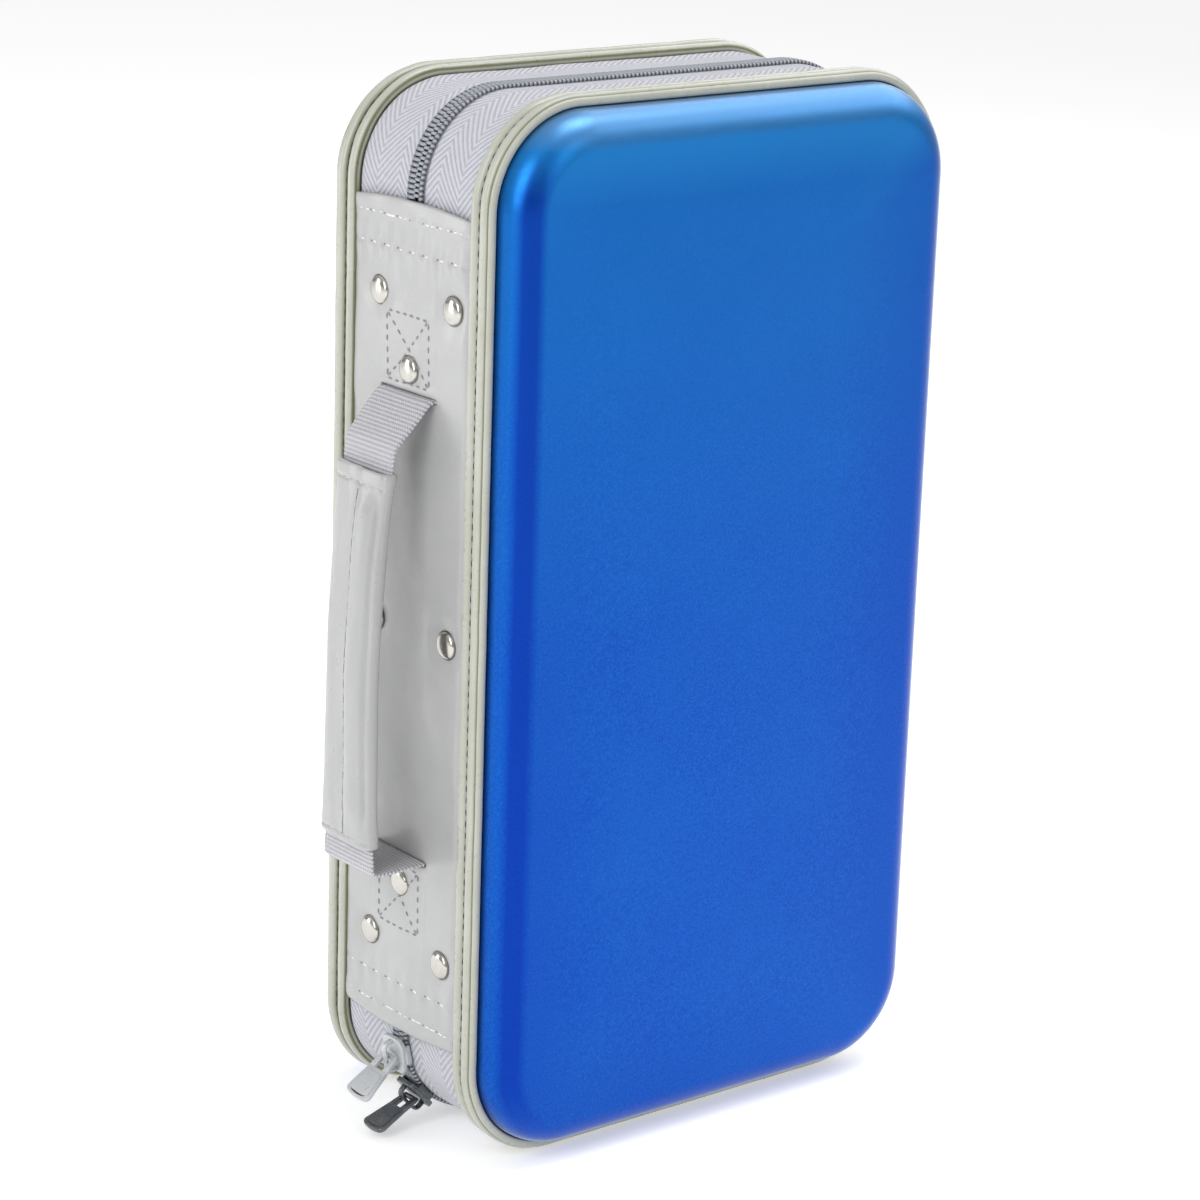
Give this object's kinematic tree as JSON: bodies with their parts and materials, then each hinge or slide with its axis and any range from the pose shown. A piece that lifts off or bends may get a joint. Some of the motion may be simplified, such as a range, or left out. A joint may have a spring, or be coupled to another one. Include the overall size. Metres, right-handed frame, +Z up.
{
  "type": "disc wallet",
  "caption": "Zip-round disc wallet: two moulded shells on a riveted vinyl spine, piped and bound edges, webbing carry handle, sleeve sheets inside.",
  "frame": {"origin": "on the ground under the middle of the envelope, handle included, standing on the lower short edge", "axes": "+Z up along the long side, +X from the spine towards the opening side, +Y from the front cover towards the back cover"},
  "size_m": [0.1802, 0.09, 0.3],
  "materials": {
    "shell": "satin metallic blue moulded shell",
    "lining": "thin dark woven lining",
    "edging": "olive-silver vinyl",
    "tape": "herringbone woven tape, lavender grey",
    "chain": "nylon coil",
    "spine_vinyl": "soft silver-grey vinyl",
    "board": "polypropylene board",
    "strip": "black welded strip",
    "sleeve": "clear film over white non-woven",
    "rivet": "nickel plated",
    "washer": "plain",
    "webbing": "ribbed webbing",
    "padding": "foam",
    "slider_light": "silver painted die casting",
    "slider_dark": "gunmetal plated die casting"
  },
  "bodies": {
    "spine": {"spine_cover": "spine_vinyl", "spine_board": "board", "spine_lining": "lining", "spine_rivets": "rivet", "strap_rivets": "rivet", "rivet_washers": "washer", "front_leaf_strip": "strip", "back_leaf_strip": "strip", "lower_corner_tape": "tape", "upper_corner_tape": "tape", "lower_corner_chain": "chain", "upper_corner_chain": "chain"},
    "front_cover": {"front_shell": "shell", "front_lining": "lining", "front_binding": "edging", "front_piping": "edging", "front_zip_tape": "tape", "front_zip_chain": "chain"},
    "back_cover": {"back_shell": "shell", "back_lining": "lining", "back_binding": "edging", "back_piping": "edging", "back_zip_tape": "tape", "back_zip_chain": "chain"},
    "handle": {"strap_upper_leg": "webbing", "strap_lower_leg": "webbing", "grip_strap": "webbing", "grip_sleeve": "spine_vinyl", "grip_padding": "padding"},
    "slider_1": {"zip_slider_1": "slider_light"},
    "slider_2": {"zip_slider_2": "slider_dark"},
    "pull_1": {"zip_pull_1": "slider_light"},
    "pull_2": {"zip_pull_2": "slider_dark"},
    "front_sheet_1": {"front_sleeve_sheet_1": "sleeve"},
    "front_sheet_2": {"front_sleeve_sheet_2": "sleeve"},
    "front_sheet_3": {"front_sleeve_sheet_3": "sleeve"},
    "front_sheet_4": {"front_sleeve_sheet_4": "sleeve"},
    "back_sheet_1": {"back_sleeve_sheet_1": "sleeve"},
    "back_sheet_2": {"back_sleeve_sheet_2": "sleeve"},
    "back_sheet_3": {"back_sleeve_sheet_3": "sleeve"},
    "back_sheet_4": {"back_sleeve_sheet_4": "sleeve"}
  },
  "joints": [
    {"name": "front_cover_hinge", "type": "hinge", "parent": "spine", "child": "front_cover", "pos_m": [-0.06875, -0.0282, 0.15], "axis": [0, 0, -1], "range_deg": [0, 95]},
    {"name": "back_cover_hinge", "type": "hinge", "parent": "spine", "child": "back_cover", "pos_m": [-0.06875, 0.0282, 0.15], "axis": [0, 0, 1], "range_deg": [0, 95]},
    {"name": "front_sheet_1_turn", "type": "hinge", "parent": "spine", "child": "front_sheet_1", "pos_m": [-0.06115, -0.0084, 0.15], "axis": [0, 0, -1], "range_deg": [0, 14.25]},
    {"name": "front_sheet_2_turn", "type": "hinge", "parent": "spine", "child": "front_sheet_2", "pos_m": [-0.06115, -0.0138, 0.15], "axis": [0, 0, -1], "range_deg": [0, 31.35]},
    {"name": "front_sheet_3_turn", "type": "hinge", "parent": "spine", "child": "front_sheet_3", "pos_m": [-0.06115, -0.0192, 0.15], "axis": [0, 0, -1], "range_deg": [0, 49.4]},
    {"name": "front_sheet_4_turn", "type": "hinge", "parent": "spine", "child": "front_sheet_4", "pos_m": [-0.06115, -0.0246, 0.15], "axis": [0, 0, -1], "range_deg": [0, 80.75]},
    {"name": "back_sheet_1_turn", "type": "hinge", "parent": "spine", "child": "back_sheet_1", "pos_m": [-0.06115, 0.0084, 0.15], "axis": [0, 0, 1], "range_deg": [0, 14.25]},
    {"name": "back_sheet_2_turn", "type": "hinge", "parent": "spine", "child": "back_sheet_2", "pos_m": [-0.06115, 0.0138, 0.15], "axis": [0, 0, 1], "range_deg": [0, 31.35]},
    {"name": "back_sheet_3_turn", "type": "hinge", "parent": "spine", "child": "back_sheet_3", "pos_m": [-0.06115, 0.0192, 0.15], "axis": [0, 0, 1], "range_deg": [0, 49.4]},
    {"name": "back_sheet_4_turn", "type": "hinge", "parent": "spine", "child": "back_sheet_4", "pos_m": [-0.06115, 0.0246, 0.15], "axis": [0, 0, 1], "range_deg": [0, 80.75]},
    {"name": "handle_swing", "type": "hinge", "parent": "spine", "child": "handle", "pos_m": [-0.06965, 0, 0.15], "axis": [0, 0, 1], "range_deg": [-32, 32], "deforming": ["strap_upper_leg", "strap_lower_leg"]},
    {"name": "slider_1_travel", "type": "hinge", "parent": "spine", "child": "slider_1", "pos_m": [-0.04085, 0, 0.03], "axis": [0, -1, 0], "range_deg": [0, 5]},
    {"name": "slider_2_travel", "type": "hinge", "parent": "spine", "child": "slider_2", "pos_m": [-0.04085, 0, 0.03], "axis": [0, -1, 0], "range_deg": [0, 36]},
    {"name": "pull_1_swing", "type": "hinge", "parent": "slider_1", "child": "pull_1", "pos_m": [-0.07209, 0, 0.02307], "axis": [0, -1, 0], "range_deg": [-80, 0]},
    {"name": "pull_2_swing", "type": "hinge", "parent": "slider_2", "child": "pull_2", "pos_m": [-0.06463, 0, 0.00859], "axis": [0, -1, 0], "range_deg": [0, 95]}
  ],
  "couplings": [
    {"joint": "front_sheet_1_turn", "follows": "front_cover_hinge", "ratio": 0.15},
    {"joint": "front_sheet_2_turn", "follows": "front_cover_hinge", "ratio": 0.33},
    {"joint": "front_sheet_3_turn", "follows": "front_cover_hinge", "ratio": 0.52},
    {"joint": "front_sheet_4_turn", "follows": "front_cover_hinge", "ratio": 0.85},
    {"joint": "back_sheet_1_turn", "follows": "back_cover_hinge", "ratio": 0.15},
    {"joint": "back_sheet_2_turn", "follows": "back_cover_hinge", "ratio": 0.33},
    {"joint": "back_sheet_3_turn", "follows": "back_cover_hinge", "ratio": 0.52},
    {"joint": "back_sheet_4_turn", "follows": "back_cover_hinge", "ratio": 0.85}
  ]
}
